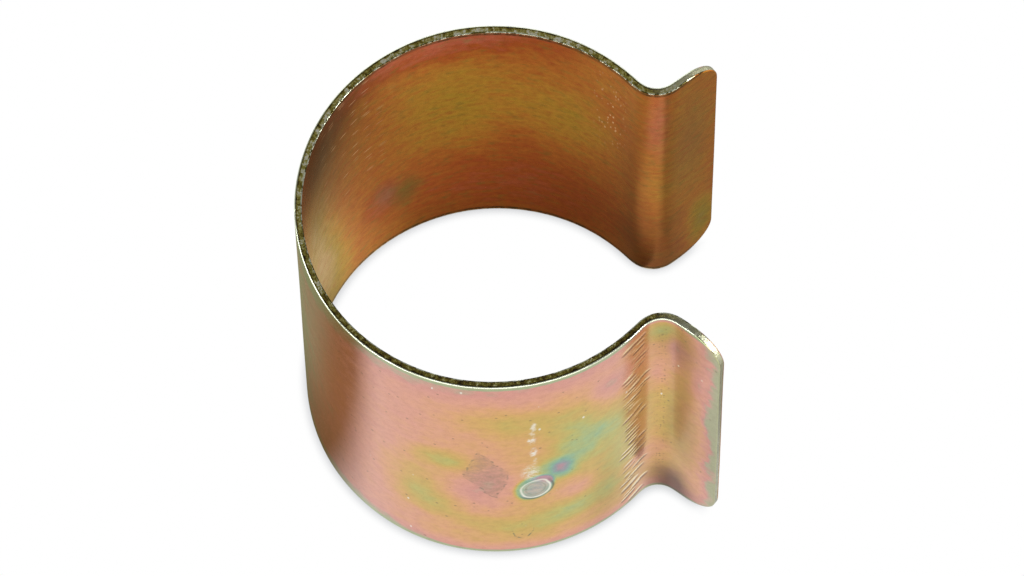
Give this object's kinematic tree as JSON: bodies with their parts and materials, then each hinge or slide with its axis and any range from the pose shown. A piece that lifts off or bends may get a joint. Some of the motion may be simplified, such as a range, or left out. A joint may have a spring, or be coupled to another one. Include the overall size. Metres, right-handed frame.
{
  "type": "clip-on hose clamp",
  "caption": "Open barrel of spring steel strip with two flared lips, which snaps over a hose or tube and grips it.",
  "frame": {"origin": "middle of the footprint, on the surface that the clamp's lower edge stands on; the bore's axis stands 1.44 mm behind it, at x = -0.00144", "axes": "+Z along the bore, +X out of the mouth, +Y towards the rear jaw"},
  "size_m": [0.0444, 0.0416, 0.045],
  "materials": {
    "zinc_plate": "yellow chromated zinc plate on spring steel, iridescent, half gloss"
  },
  "bodies": {
    "back": {"back_band": "zinc_plate"},
    "front_jaw": {"front_jaw": "zinc_plate"},
    "rear_jaw": {"rear_jaw": "zinc_plate"}
  },
  "joints": [
    {"name": "front_jaw_flex", "type": "hinge", "parent": "back", "child": "front_jaw", "pos_m": [-0.01586, -0.01443, 0], "axis": [0, 0, -1], "range_deg": [-5, 15], "stiffness_Nm_per_rad": 12.2},
    {"name": "rear_jaw_flex", "type": "hinge", "parent": "back", "child": "rear_jaw", "pos_m": [-0.01586, 0.01443, 0], "axis": [0, 0, 1], "range_deg": [-5, 15], "stiffness_Nm_per_rad": 12.2}
  ]
}
